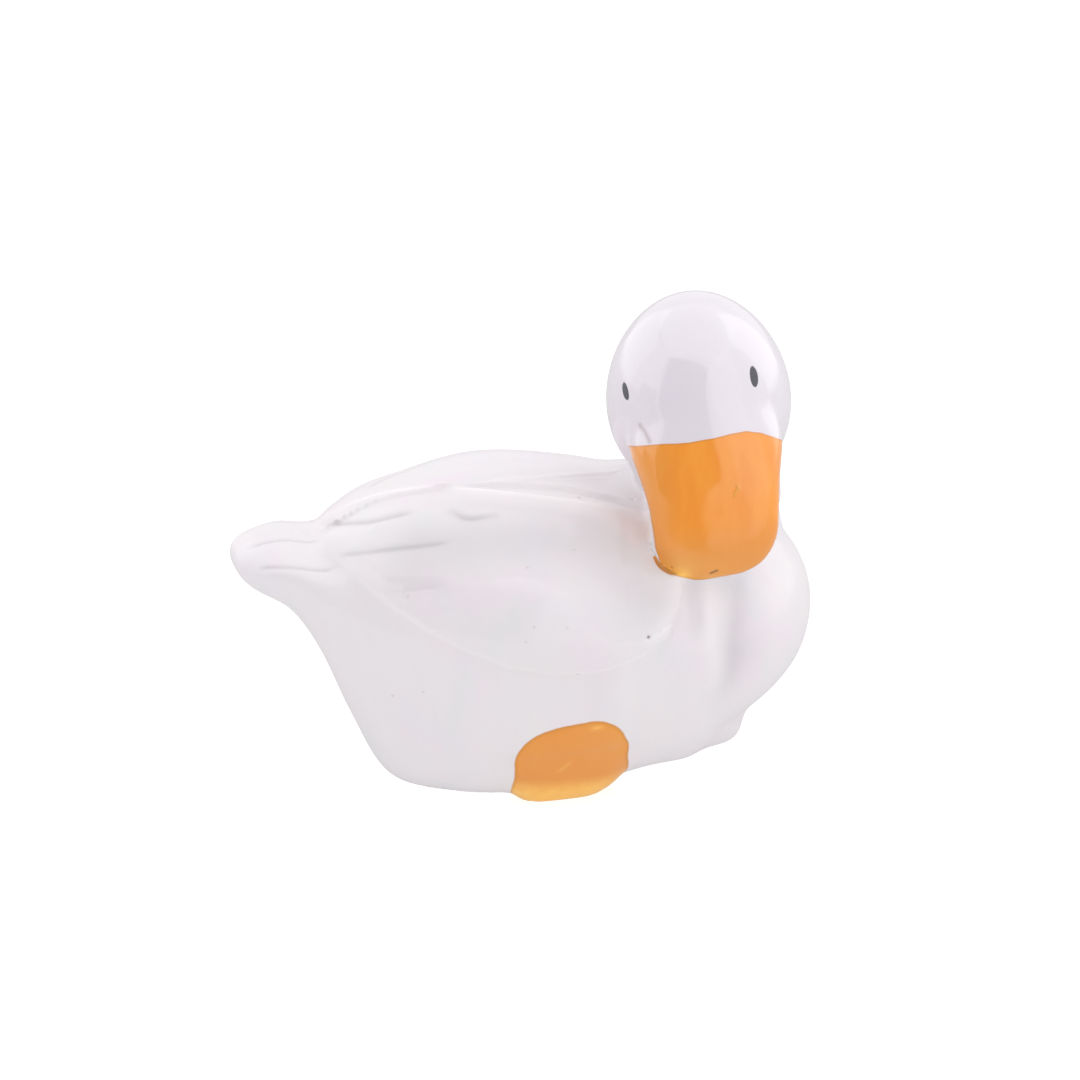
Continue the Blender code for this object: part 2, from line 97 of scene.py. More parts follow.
# Carved and raised lines: (depth, half width, points on the skin), all in millimetres. A raised line's
# depth is negative.
LINES = [
    # the tail's feathers
    (0.35, 0.45, [(-51.8, -2.2, 45.1), (-44.9, -2.0, 46.3), (-39.2, -3.0, 46.8)]),
    (0.30, 0.35, [(-50.3, -7.8, 43.4), (-43.1, -11.2, 44.6), (-37.0, -11.3, 44.4)]),
    # the near wing's long feathers
    (0.38, 0.50, [(-35.8, 0.8, 47.3), (-32.6, -3.6, 49.0), (-29.3, -6.8, 50.5), (-22.1, -7.2, 51.6)]),
    (0.28, 0.50, [(-36.3, -9.8, 45.6), (-27.5, -14.4, 47.5), (-17.5, -17.2, 49.5)]),
    (0.10, 0.40, [(-27.4, -20.5, 42.4), (-19.6, -23.6, 44.2)]),
    (0.28, 0.60, [(-14.7, -10.2, 52.4), (-13.4, -13.0, 52.0), (-9.3, -13.0, 52.4)]),
    # the far wing's feather
    (0.25, 0.45, [(-27.3, 7.4, 51.1), (-20.7, 12.2, 51.1), (-14.9, 15.8, 50.9)]),
    # the ridge that runs from the tail along the spine and then along the near wing's upper edge
    (-0.50, 0.90, [(-32.5, 3.2, 49.2), (-29.7, 2.3, 50.8), (-26.2, 1.6, 51.9), (-20.2, 1.0, 52.3),
                   (-14.0, 0.6, 52.2), (-6.8, -4.2, 53.1), (-0.5, -6.7, 52.8), (5.6, -8.6, 52.1),
                   (10.1, -9.5, 51.4), (16.0, -10.6, 50.0)]),
    (-0.25, 0.60, [(-7.4, 1.0, 52.5), (7.2, 3.0, 51.7), (22.7, 9.1, 49.1)]),
    # a scratch and a chip on the near foot
    (-0.10, 0.22, [(0.3, -31.5, 8.6), (2.7, -32.4, 10.7)]),
    (-0.20, 0.25, [(5.9, -33.6, 17.9), (8.4, -33.8, 18.1)]),
    # the crack between the bill's corner and the breast
    (0.30, 0.35, BILL_CRACK),
    # a drip in the bill's paint
    (-0.12, 0.25, BILL_DRIP),
]

# Broad soft folds, in the same terms: below the near wing's upper edge, its front bevel, the breast's
# upright folds, the flank's and the one across the near foot
FOLDS = [
    (0.22, 1.8, [(-18.1, -6.0, 52.7), (-9.3, -8.4, 52.9), (-0.6, -11.4, 52.4), (8.1, -14.1, 51.0),
                 (13.0, -15.4, 49.5)]),
    (-0.40, 1.3, [(25.0, -24.9, 43.4), (22.5, -29.0, 39.8), (20.4, -31.8, 37.3), (17.0, -33.6, 35.0)]),
    (0.45, 1.3, [(26.9, -24.7, 42.0), (26.5, -28.3, 38.1), (25.6, -30.8, 33.2)]),
    (-0.28, 1.6, [(30.2, -24.5, 41.4), (29.4, -28.6, 36.9), (28.6, -31.3, 32.3), (29.0, -31.8, 24.1)]),
    (0.62, 2.1, [(34.8, -23.4, 40.5), (34.6, -27.6, 35.9), (33.4, -30.3, 31.3), (32.3, -31.2, 20.7)]),
    (0.10, 2.2, [(6.9, -33.8, 28.7), (7.3, -32.8, 11.9)]),
    (-0.10, 2.2, [(11.8, -34.9, 32.7), (12.8, -33.6, 17.9)]),
    (0.32, 1.4, [(-7.5, -30.4, 11.0), (2.2, -32.9, 12.1), (13.5, -31.6, 12.5)]),
]

# Painted shade in grey: (share, half width and points as above)
PAINTED_SHADES = [
    (0.27, 7.0, [(-22.0, -16.0, 48.0), (-2.0, -20.0, 50.0), (10.0, -22.0, 47.5), (17.0, -29.0, 41.0)]),
    (0.06, 2.6, [(8.2, -16.0, 50.6), (14.3, -18.5, 48.9), (17.8, -21.5, 46.7), (20.0, -24.9, 43.9)]),
    (0.08, 8.0, [(24.6, -5.8, 84.0), (30.0, -6.6, 86.0)]),
    (0.12, 5.0, [(34.7, -28.9, 33.5), (35.4, -30.0, 28.9)]),
    (0.20, 1.1, [(-15.2, -9.6, 52.3), (-13.4, -12.6, 52.0), (-8.3, -13.0, 52.4)]),
]

# Dents and pinholes: (depth, half width, place), all in millimetres
DENTS = [
    (0.20, 0.7, (-8.9, -6.5, 53.1)), (0.18, 1.5, (3.1, -18.3, 50.7)), (0.25, 1.9, (-5.2, -24.4, 48.5)),
    (0.25, 0.45, (20.0, -6.1, 49.0)), (0.25, 0.40, (9.8, -6.5, 51.7)),
    (0.40, 0.35, (16.5, -33.7, 35.4)),
]

# Dirt and stray paint: (share of brown, half width in millimetres, points on the skin)
MARKS = [
    (0.36, 0.45, [(19.6, -12.8, 67.8), (20.1, -14.6, 67.1), (20.5, -16.3, 65.9)]),
    (0.45, 0.30, BILL_CRACK), (0.17, 0.18, BILL_DRIP),
    (0.35, 0.22, [(20.6, -19.2, 46.5), (20.5, -21.8, 45.5)]),
    (0.85, 0.22, [(29.6, -26.8, 43.6), (30.7, -27.2, 44.2)]),
    (0.90, 0.19, [(16.5, -33.7, 35.4)]), (0.45, 0.25, [(20.0, -6.1, 49.0)]),
    (0.40, 0.22, [(9.8, -6.5, 51.7)]), (0.30, 0.20, [(-25.1, -22.2, 42.2)]),
    (0.25, 0.22, [(-4.1, -26.0, 47.6)]), (0.22, 0.20, [(5.2, -22.9, 48.7)]),
    (0.28, 0.20, [(-4.2, -32.4, 38.9)]), (0.22, 0.20, [(1.7, -33.1, 38.6)]),
    (0.22, 0.20, [(-5.8, -32.8, 36.3)]), (0.28, 0.20, [(3.5, -33.5, 29.5)]),
    (0.30, 0.22, [(-28.4, -22.5, 22.7)]), (0.28, 0.20, [(-23.3, -25.9, 24.7)]),
]

# How far the wings stand off the flanks, how much further their rims do, and how far the bare back between
# them is raised, in millimetres
WING_STEP = 0.22
WING_RIM = 0.16
BACK_RAISED = 0.9

# The casting's skin
SKIN_VOXEL = 0.62 * MM
SOFTEN_STEPS = 42
FINE_REACH = 0.9            # millimetres round a fine line within which the skin's mesh is split finer
BASE_ROUND = 0.3 * MM       # the edge where the skin meets its flat base is rounded by about this much
TAIL_TAKEN = 0.9 * MM       # the rounding shortens the tail by this much, from its root on
TAIL_ROOT = -44 * MM
TAIL_RUN = 9 * MM
CRACK_FILLED = 0.38         # the bill's paint has run this many millimetres to each side of the crack

# The camera: turned towards the tail, raised above the floor, and its shift in picture elements
CAMERA_TURN = math.radians(-12)
CAMERA_RISE = math.radians(25)
CAMERA_DISTANCE = 0.70
PICTURE_WIDTH = 1080
PIXEL = MM / 5.36
AIM_HEIGHT = 36 * MM
SHIFT_RIGHT = 19.7
SHIFT_UP = 23.7

# Colours: the plain white and what it leans to, painted highlight and shade, then the orange, eyes and dirt
WHITE = (0.78, 0.742, 0.762, 1)
WHITE_PINK = (0.79, 0.725, 0.775, 1)
WHITE_COOL = (0.75, 0.74, 0.775, 1)
WHITE_THICK = (0.84, 0.79, 0.83, 1)
WHITE_VIOLET = (0.760, 0.700, 0.780, 1)
# The white of painted highlight, then the grey of painted shade
WHITE_PAINTED_HIGHLIGHT = (0.93, 0.89, 0.91, 1)
GREY_PAINTED_SHADE = (0.38, 0.35, 0.38, 1)
ORANGE_DEEP = (0.90, 0.285, 0.018, 1)
ORANGE_LIGHT = (0.96, 0.345, 0.034, 1)
# The orange darkened as painted shade, then a yellow that is partly painted light and highlight
ORANGE_SHADED = (0.78, 0.30, 0.045, 1)
ORANGE_YELLOW = (1.0, 0.54, 0.10, 1)
ORANGE_THIN = (0.50, 0.20, 0.02, 1)
EYE_DARK = (0.030, 0.032, 0.045, 1)
DIRT_BROWN = (0.13, 0.05, 0.02, 1)

# Brightness as shares of white: the tent and its mirror image, then the table's glow as the camera,
# the duck and the duck's gloss see it
TENT_LIGHT = 0.84
TENT_GLOSS = 1.0
FLOOR_SEEN = 0.82
FLOOR_GLOW = 0.66
FLOOR_GLOSS = 0.30
# The tent's front opening narrows downwards: corners as shares of its width and height
OPENING_CORNERS = ((-0.42, -0.5), (0.26, -0.5), (-0.5, 0.5), (0.56, 0.5))


def deselect():
    """Leaves edit mode, with nothing selected."""
    if bpy.context.mode != "OBJECT":
        bpy.ops.object.mode_set(mode="OBJECT")
    bpy.ops.object.select_all(action="DESELECT")


def activate(piece):
    deselect()
    piece.select_set(True)
    bpy.context.view_layer.objects.active = piece


def apply_modifier(piece, kind, **settings):
    activate(piece)
    bpy.ops.object.modifier_add(type=kind)
    modifier = piece.modifiers[-1]
    for name, value in settings.items():
        setattr(modifier, name, value)
    bpy.ops.object.modifier_apply(modifier=modifier.name)


def points_of(piece):
    points = np.empty(len(piece.data.vertices) * 3)
    piece.data.vertices.foreach_get("co", points)
    return points.reshape(-1, 3)


def normals_of(piece):
    normals = np.empty(len(piece.data.vertices) * 3)
    piece.data.vertices.foreach_get("normal", normals)
    return normals.reshape(-1, 3)


def casting_skin():
    """The solid's own surface on a fine even mesh, smooth where the solid has facets."""
    piece = bpy.data.objects.new("duck_casting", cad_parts["duck"].data.copy())
    bpy.context.scene.collection.objects.link(piece)
    piece.data.materials.clear()
    activate(piece)
    bpy.ops.object.mode_set(mode="EDIT")
    bpy.ops.mesh.select_all(action="SELECT")
    bpy.ops.mesh.remove_doubles(threshold=1e-6)
    bpy.ops.mesh.subdivide(number_cuts=2, smoothness=1.0)
    bpy.ops.object.mode_set(mode="OBJECT")
    apply_modifier(piece, "REMESH", mode="VOXEL", voxel_size=SKIN_VOXEL)
    apply_modifier(piece, "SMOOTH", factor=0.5, iterations=6)
    bpy.ops.object.shade_smooth()
    return piece


def flatten_base(piece):
    """Rests the skin on the floor with a small round at its edge."""
    points = points_of(piece)
    sunk = points[:, 2] - BASE_ROUND * np.exp(-points[:, 2] / BASE_ROUND)
    points[:, 2] = np.maximum(sunk, 0)
    piece.data.vertices.foreach_set("co", points.ravel())
    piece.data.update()


def head_axes():
    """The way the head faces, its own left and its own up."""
    facing = Vector((math.cos(HEAD_TURN), math.sin(HEAD_TURN), 0))
    up = Matrix.Rotation(HEAD_ROLL, 3, facing) @ Vector((0, 0, 1))
    return facing, up.cross(facing), up


def bill_places(points):
    """Each point's place on the bill in millimetres: along it, across it and out from its face."""
    facing, side, up = head_axes()
    sine, cosine = math.sin(BILL_PITCH), math.cos(BILL_PITCH)
    reach = math.hypot(HEAD_LENGTH / 2 * sine, HEAD_TALL / 2 * cosine)
    brow = HEAD_MIDDLE + (facing * (HEAD_LENGTH / 2) ** 2 * sine + up * (HEAD_TALL / 2) ** 2 * cosine) / reach
    offset = (points - np.array(brow)) / MM
    along = offset @ np.array(facing * cosine - up * sine)
    across = offset @ np.array(side) - BILL_ASIDE / MM
    return along, across, offset @ np.array(facing * sine + up * cosine)


def gap_to_line(points, line):
    """Distance of each point of the plane to a chain of straight lines."""
    line = np.array(line, float)
    gap = np.full(len(points), 1e9)
    for a, b in zip(line, line[1:]):
        share = np.clip((points - a) @ (b - a) / ((b - a) @ (b - a)), 0, 1)
        gap = np.minimum(gap, np.linalg.norm(points - a - share[:, None] * (b - a), axis=1))
    return gap


def depth_inside(points, outline):
    """Distance to a closed outline, positive inside it and negative outside."""
    outline = np.array(outline, float)
    inside = np.zeros(len(points), bool)
    for a, b in zip(outline, np.roll(outline, -1, axis=0)):
        crosses = (a[1] > points[:, 1]) != (b[1] > points[:, 1])
        with np.errstate(divide="ignore", invalid="ignore"):
            at = a[0] + (points[:, 1] - a[1]) * (b[0] - a[0]) / (b[1] - a[1])
        inside ^= crosses & (points[:, 0] < at)
    gap = gap_to_line(points, np.vstack([outline, outline[:1]]))
    return np.where(inside, gap, -gap)


def smooth_step(value):
    """0 below 0, 1 above 1 and an even curve between."""
    value = np.clip(value, 0, 1)
    return value * value * (3 - 2 * value)


def bill_paint(points):
    """How deep each point lies inside the bill's orange, in millimetres, negative outside it."""
    along, across, out = bill_places(points)
    edge = depth_inside(np.column_stack([across, along]), BILL_EDGE)
    root = np.interp(across, *np.array(BILL_ROOT).T)
    deep = np.interp(along, *np.array(BILL_DEEP).T)
    return np.minimum.reduce([edge, out + deep, along - root])


def bill_shade(points):
    """1 at the bill's tip and down its right side, where painted shade darkens the orange, and 0 over the
    rest of it.
    """
    along, across, out = bill_places(points)
    return np.maximum(smooth_step((along - 22) / 9), 0.8 * smooth_step((-across - 4) / 7))


def wing_depth(points):
    """How far inside a folded wing's outline each point lies, in millimetres, and its angle from the top."""
    forward, aside, height = points.T
    angle = np.degrees(np.arctan2(np.abs(aside), height - AXIS_HEIGHT))
    skin = np.column_stack([forward - np.where(aside > 0, LEFT_WING_FORWARD, 0), angle * ARC])
    outline = [(share * BODY_LENGTH, degrees * ARC) for share, degrees in WING_OUTLINE]
    depth = depth_inside(skin, outline) / MM
    return np.where(height < AXIS_HEIGHT / 2, -9, depth), angle


def plumage(points):
    """1 on the body's feathered part and 0 on the head, the bill, the feet and the base."""
    forward, aside, height = points.T / MM
    along, across, out = bill_places(points)
    bill = np.maximum.reduce([np.abs(across) - 16, -out - 13, -along - 8, along - 37])
    body = np.minimum.reduce([(56 - height) / 3, (height - 20) / 3, bill / 2])
    return smooth_step(body)


def tail_and_spine(points):
    """1 on the tail and along the middle of the back, for points in millimetres."""
    forward, aside, height = points.T
    tail = smooth_step((-30 - forward) / 4) * smooth_step((height - 38) / 3)
    spine = smooth_step((height - 48) / 2) * smooth_step((58 - height) / 3) * smooth_step((18 - forward) / 4)
    return np.maximum(tail, spine)


def base_front(points):
    """1 where the base meets the breast, for points in millimetres."""
    return smooth_step((points[:, 0] - 27) / 5) * smooth_step((20 - points[:, 2]) / 6)


def soften(piece, mask, steps):
    """Rounds off the solid's own stepped relief where the mask says so."""
    group = piece.vertex_groups.new(name="soft")
    for index in np.flatnonzero(mask > 0.01):
        group.add([int(index)], float(mask[index]), "REPLACE")
    apply_modifier(piece, "SMOOTH", factor=0.5, iterations=steps, vertex_group="soft")
    piece.vertex_groups.clear()


def draw_out_tail(piece):
    """Gives the tail back the length that the rounding took from it."""
    points = points_of(piece)
    points[:, 0] -= TAIL_TAKEN * smooth_step((TAIL_ROOT - points[:, 0]) / TAIL_RUN)
    piece.data.vertices.foreach_set("co", points.ravel())
    piece.data.update()


def rounded(line):
    """The chain of lines with its corners cut off twice."""
    for step in range(2):
        cuts = [(a * (1 - share) + b * share) for a, b in zip(line, line[1:]) for share in (0.25, 0.75)]
        line = np.vstack([line[:1], cuts, line[-1:]])
    return line


def tangent_gap(points, normals, line, taper=0.0):
    """Distance of each point to a chain of lines lying on the skin, measured along the skin.

    With a taper, in millimetres, the distance also grows towards the chain's two ends.
    """
    line = rounded(np.array(line if len(line) > 1 else line * 2, float))
    lengths = np.linalg.norm(np.diff(line, axis=0), axis=1)
    starts = np.concatenate([[0], np.cumsum(lengths)])
    gap = np.full(len(points), 1e9)
    for a, b, start, length in zip(line, line[1:], starts, lengths):
        share = np.clip((points - a) @ (b - a) / max(length ** 2, 1e-9), 0, 1)
        away = points - a - share[:, None] * (b - a)
        rise = np.einsum("ij,ij->i", away, normals)
        flat = np.linalg.norm(away - rise[:, None] * normals, axis=1)
        if taper:
            run = start + share * length
            near_end = 1 - np.minimum(run, starts[-1] - run) / taper
            flat = np.hypot(flat, taper * 0.25 * np.clip(near_end, 0, 1) ** 2)
        gap = np.minimum(gap, np.where(np.abs(rise) < 3, flat, 1e9))
    return gap


def split_finer(piece, lines, cuts):
    """Splits the faces near the lines, so that they hold fine work."""
    points, normals = points_of(piece) / MM, normals_of(piece)
    near = np.min([tangent_gap(points, normals, line) for line in lines], axis=0) < FINE_REACH
    activate(piece)
    bpy.ops.object.mode_set(mode="EDIT")
    bpy.ops.mesh.select_mode(type="VERT")
    bpy.ops.mesh.select_all(action="DESELECT")
    bpy.ops.object.mode_set(mode="OBJECT")
    piece.data.vertices.foreach_set("select", near)
    bpy.ops.object.mode_set(mode="EDIT")
    bpy.ops.mesh.subdivide(number_cuts=cuts)
    bpy.ops.object.mode_set(mode="OBJECT")


def draw_in_waist(points):
    """Moves the right side of the bill's waist inwards; all in millimetres."""
    along, across, out = bill_places(points * MM)
    waist = np.exp(-((along - WAIST_AT) / WAIST_HALF) ** 2)
    waist *= smooth_step(-across / 13) * smooth_step((out + 14) / 4)
    return points + WAIST_DEPTH * waist[:, None] * np.array(head_axes()[1])


def carve(piece):
    """Works the wings' edges, the feathers, the folds, the dents and the pinholes into the skin."""
    points, normals = points_of(piece) / MM, normals_of(piece)
    clear = plumage(points * MM)
    depth, degrees = wing_depth(points * MM)
    edge = smooth_step((degrees - 22) / 16)
    rim = np.exp(-((depth - 0.9) / 0.7) ** 2)
    rise = clear * edge * (WING_STEP * smooth_step(depth / 1.2 + 0.5) + WING_RIM * rim)
    # The bare back between the wings' inner edges is raised nearly level with them.
    back = smooth_step(-depth / 1.5 + 0.3) * (1 - edge) * smooth_step((points[:, 2] - 45) / 3)
    rise += BACK_RAISED * clear * back
    # Painted highlight along the wings' edges and rims
    highlights_and_chips = 0.3 * clear * edge * np.exp(-((depth - 0.2) / 0.5) ** 2)
    painted_shade = np.zeros(len(points))
    # Grooves and folds get painted shade in step with their depth; raised lines and bevels get painted
    # highlight, and the near foot's chip and scratch their paler paint
    for groove_shade, fade, lines in ((0.75, 6, LINES), (0.35, 4, FOLDS)):
        for deep, half, line in lines:
            gap = tangent_gap(points, normals, line, half * fade) / half
            cut = deep * (0.75 * np.exp(-gap ** 2) + 0.25 * np.exp(-(gap / 2.4) ** 2))
            rise -= cut
            painted_shade = np.maximum(painted_shade, cut * groove_shade)
            highlights_and_chips = np.maximum(highlights_and_chips, -cut)
    for deep, half, place in DENTS:
        rise -= deep * np.exp(-(tangent_gap(points, normals, [place]) / half) ** 2)
    # Broad patches of painted shade, from the table above
    for share, half, line in PAINTED_SHADES:
        painted_shade += share * np.exp(-(tangent_gap(points, normals, line) / half) ** 2)
    add_field(piece, "painted_shade", painted_shade)
    add_field(piece, "highlights_and_chips", highlights_and_chips)
    points += normals * rise[:, None]
    low, high = (np.array(corner) / MM for corner in solid_box)
    points = np.clip(draw_in_waist(points), low, high)
    piece.data.vertices.foreach_set("co", (points * MM).ravel())
    piece.data.update()


def grime(points, normals):
    """Share of brown dirt or stray paint at each point."""
    shares = []
    for share, half, line in MARKS:
        shares.append(share * np.exp(-(tangent_gap(points, normals, line) / half) ** 2))
    return np.max(shares, axis=0)


def foot_paint(points):
    """How deep each point lies inside a foot's orange, in millimetres, negative outside it."""
    depths = []
    for hand in (1, -1):
        place = Matrix.Translation((FOOT_MIDDLE.x, hand * FOOT_MIDDLE.y, FOOT_MIDDLE.z))
        turn = Matrix.Rotation(-hand * FOOT_LEAN, 4, "X") @ Matrix.Rotation(-FOOT_CANT, 4, "Y")
        sweep = Matrix.Shear("XY", 4, (FOOT_SWEEP, 0))
        back = np.array((place @ turn @ sweep @ Matrix.Diagonal((*FOOT_HALVES, 1))).inverted())
        local = np.abs(points @ back[:3, :3].T + back[:3, 3])
        size = (local ** FOOT_SQUARE).sum(axis=1) ** (1 / FOOT_SQUARE)
        depths.append((FOOT_PAINT_SIZE - size) * FOOT_HALVES[0] / MM)
    return np.max(depths, axis=0)


def eye_paint(points):
    """How deep each point lies inside an eye's dab, in millimetres, negative outside it."""
    facing, side, up = (np.array(v) for v in head_axes())
    offset = points - np.array(HEAD_MIDDLE)
    depths = []
    for degrees, height, width, tall, lean in EYES:
        angle = math.radians(degrees)
        across = side * math.cos(angle) - facing * math.sin(angle)
        towards = facing * math.cos(angle) + side * math.sin(angle)
        right, rise = offset @ across, offset @ up - height
        cosine, sine = math.cos(math.radians(lean)), math.sin(math.radians(lean))
        right, rise = right * cosine - rise * sine, rise * cosine + right * sine
        oval = np.hypot(right / (width / 2), rise / (tall / 2))
        depths.append(np.where(offset @ towards > 0, 1 - oval, -9) * width / 2 / MM)
    return np.max(depths, axis=0)


def add_field(piece, name, values):
    """Keeps a number for each point of the piece, for its paint to read."""
    field = piece.data.attributes.new(name, "FLOAT", "POINT")
    field.data.foreach_set("value", np.asarray(values, np.float32))


class Value:
    """A shader socket that works in arithmetic; each step adds a Math node."""

    def __init__(self, tree, socket):
        self.tree = tree
        self.socket = socket

    def step(self, operation, *values):
        node = self.tree.nodes.new("ShaderNodeMath")
        node.operation = operation
        for slot, value in zip(node.inputs, values):
            if isinstance(value, Value):
                self.tree.links.new(value.socket, slot)
            else:
                slot.default_value = value
        return Value(self.tree, node.outputs[0])

    def __add__(self, other):
        return self.step("ADD", self, other)

    __radd__ = __add__

    def __sub__(self, other):
        return self.step("SUBTRACT", self, other)

    def __rsub__(self, other):
        return self.step("SUBTRACT", other, self)

    def __mul__(self, other):
        return self.step("MULTIPLY", self, other)

    __rmul__ = __mul__

    def __truediv__(self, other):
        return self.step("DIVIDE", self, other)

    def clamped(self):
        return self.step("MINIMUM", self.step("MAXIMUM", self, 0.0), 1.0)


class Shader:
    """A node tree and the way nodes are added to it."""

    def __init__(self, owner, surface):
        owner.use_nodes = True
        self.tree = owner.node_tree
        self.surface = self.tree.nodes[surface]

    def node(self, kind, settings=None, sockets=None, output=0):
        node = self.tree.nodes.new(kind)
        for name, value in (settings or {}).items():
            setattr(node, name, value)
        for name, value in (sockets or {}).items():
            if isinstance(value, Value):
                self.tree.links.new(value.socket, node.inputs[name])
            else:
                node.inputs[name].default_value = value
        return Value(self.tree, node.outputs[output])

    def blend(self, share, first, second):
        return self.node("ShaderNodeMix", {"data_type": "RGBA"}, {0: share, 6: first, 7: second}, 2)

    def noise(self, scale, detail=2.0, stretch=(1, 1, 1)):
        place = self.node("ShaderNodeTexCoord", output="Object")
        spread = self.node("ShaderNodeMapping", None, {"Vector": place, "Scale": stretch})
        return self.node("ShaderNodeTexNoise", None, {"Vector": spread, "Scale": scale, "Detail": detail})

    def field(self, name):
        return self.node("ShaderNodeAttribute", {"attribute_name": name}, output="Fac")

    def set(self, **sockets):
        for name, value in sockets.items():
            slot = self.surface.inputs[name.replace("_", " ")]
            if isinstance(value, Value):
                self.tree.links.new(value.socket, slot)
            else:
                slot.default_value = value


def casting_paint():
    """Gloss enamel brushed on by hand: white all over, orange bill and feet, dark eyes."""
    material = bpy.data.materials.new("brushed_enamel")
    shade = Shader(material, "Principled BSDF")
    wobble = shade.noise(150) - 0.5

    # White, with faint pink, blue-grey and cream where the coat is thick or thin
    pink = ((shade.noise(85, 4.0) - 0.47) * 7).clamped()
    cool = ((shade.noise(120, 4.0, (1.2, 1, 0.7)) - 0.5) * 7).clamped()
    white = shade.blend(pink, WHITE, WHITE_PINK)
    white = shade.blend(cool * 0.7, white, WHITE_COOL)
    brushed = shade.noise(300, 3.0, (1.0, 1.0, 0.16))
    white = shade.blend(brushed * 0.35, white, WHITE_THICK)
    # The head's coat leans to violet.
    white = shade.blend(0.8 - shade.field("body") * 0.8, white, WHITE_VIOLET)
    # Painted highlight on ridges and rims, then painted shade in grooves, folds and broad patches
    white = shade.blend((shade.field("highlights_and_chips") * 1.3).clamped(), white, WHITE_PAINTED_HIGHLIGHT)
    white = shade.blend(shade.field("painted_shade"), white, GREY_PAINTED_SHADE)

    # Orange, streaked down the bill, darker where it thins out at its edge
    bill = shade.field("bill_paint") + wobble * 0.4
    feet = shade.field("foot_paint") + wobble * 0.5
    inside = bill.step("MAXIMUM", bill, feet)
    streaks = ((shade.noise(260, 4.0, (1.0, 1.0, 0.12)) - 0.32) * 2.8).clamped()
    orange = shade.blend(streaks, ORANGE_DEEP, ORANGE_LIGHT)
    # Painted shade on the bill's tip and down its right side
    orange = shade.blend(shade.field("bill_shade") * 0.75, orange, ORANGE_SHADED)
    # Yellower towards the feet's lower edge, partly painted light from the table below, and on raised lines
    # as painted highlight and paler chipped paint
    lit_from_below = shade.field("low") * (0.6 + shade.noise(500, 2.0) * 0.8)
    yellow = (lit_from_below + shade.field("highlights_and_chips") * 4.0).clamped()
    orange = shade.blend(yellow, orange, ORANGE_YELLOW)
    thin = (1.0 - inside / 0.38).clamped()
    orange = shade.blend(thin * 0.6, orange, ORANGE_THIN)
    colour = shade.blend((inside / 0.16 + 0.5).clamped(), white, orange)

    eyes = ((shade.field("eye_paint") + wobble * 0.25) / 0.12 + 0.5).clamped()
    colour = shade.blend(eyes, colour, EYE_DARK)
    colour = shade.blend(shade.field("grime"), colour, DIRT_BROWN)

    height = shade.noise(700, 3.0) * 0.15 + shade.noise(120, 3.0) * 1.1 + brushed * 0.45
    normal = shade.node("ShaderNodeBump", None, {"Strength": 0.5, "Distance": 0.15 * MM, "Height": height})
    # The head and the bill shine most; the body's coat is brushed out thinner.
    gloss = 1.0 - shade.field("body") * (0.7 - inside.clamped() * 0.45)
    shade.set(Base_Color=colour, Roughness=0.36 + shade.noise(180, 3.0) * 0.16, Normal=normal,
              Specular_IOR_Level=0.35, Coat_Weight=gloss, Coat_Roughness=0.10, Coat_IOR=1.7)
    return material


def duck():
    """The painted casting in one piece, over the whole solid."""
    piece = casting_skin()
    points = points_of(piece)
    soften(piece, plumage(points), SOFTEN_STEPS)
    points = points_of(piece) / MM
    soften(piece, tail_and_spine(points), SOFTEN_STEPS)
    draw_out_tail(piece)
    soften(piece, base_front(points), 4 * SOFTEN_STEPS)
    flatten_base(piece)
    split_finer(piece, [line for deep, half, line in LINES], 1)
    split_finer(piece, [line for share, half, line in MARKS], 2)
    carve(piece)
    points = points_of(piece)
    filled = CRACK_FILLED - tangent_gap(points / MM, normals_of(piece), BILL_CRACK)
    add_field(piece, "bill_paint", np.maximum(bill_paint(points), filled))
    add_field(piece, "bill_shade", bill_shade(points))
    add_field(piece, "foot_paint", foot_paint(points))
    add_field(piece, "eye_paint", eye_paint(points))
    add_field(piece, "grime", grime(points / MM, normals_of(piece)))
    # 1 at the feet's lower edge, where the orange gets painted light from below, and 1 on all that lies below
    # the head
    add_field(piece, "low", smooth_step((7 - points[:, 2] / MM) / 5))
    add_field(piece, "body", smooth_step((62 - points[:, 2] / MM) / 8))
    piece.data.materials.append(casting_paint())
    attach(piece, "root")
    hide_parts("duck")


def floor():
    """A pale lit table, whose glow thins the shadow."""
    deselect()
    bpy.ops.mesh.primitive_plane_add(size=6, location=(0, 0, 0))
    ground = bpy.context.object
    ground.name = "floor"
    material = bpy.data.materials.new("lit_table")
    shade = Shader(material, "Principled BSDF")
    camera_ray = shade.node("ShaderNodeLightPath", output="Is Camera Ray")
    glossy_ray = shade.node("ShaderNodeLightPath", output="Is Glossy Ray")
    glow = FLOOR_GLOW + camera_ray * (FLOOR_SEEN - FLOOR_GLOW) + glossy_ray * (FLOOR_GLOSS - FLOOR_GLOW)
    shade.set(Base_Color=(0.35, 0.35, 0.35, 1), Roughness=0.9, Specular_IOR_Level=0.0,
              Emission_Color=glow, Emission_Strength=1.0)
    ground.data.materials.append(material)


def card(name, size, place, grey, corners=((-0.5, -0.5), (0.5, -0.5), (-0.5, 0.5), (0.5, 0.5))):
    """An upright card that faces the duck, with its corners at these shares of its size."""
    deselect()
    bpy.ops.mesh.primitive_plane_add(size=1)
    sheet = bpy.context.object
    sheet.name = name
    for point, corner in zip(sheet.data.vertices, corners):
        point.co = (*corner, 0)
    sheet.scale = (*size, 1)
    sheet.location = place
    sheet.rotation_euler = Vector((place[0], place[1], 0)).to_track_quat("Z", "Y").to_euler()
    bpy.ops.object.transform_apply(location=True, rotation=True, scale=True)
    material = bpy.data.materials.new(name)
    Shader(material, "Principled BSDF").set(Base_Color=(grey, grey, grey, 1), Roughness=1.0)
    sheet.data.materials.append(material)
    return sheet


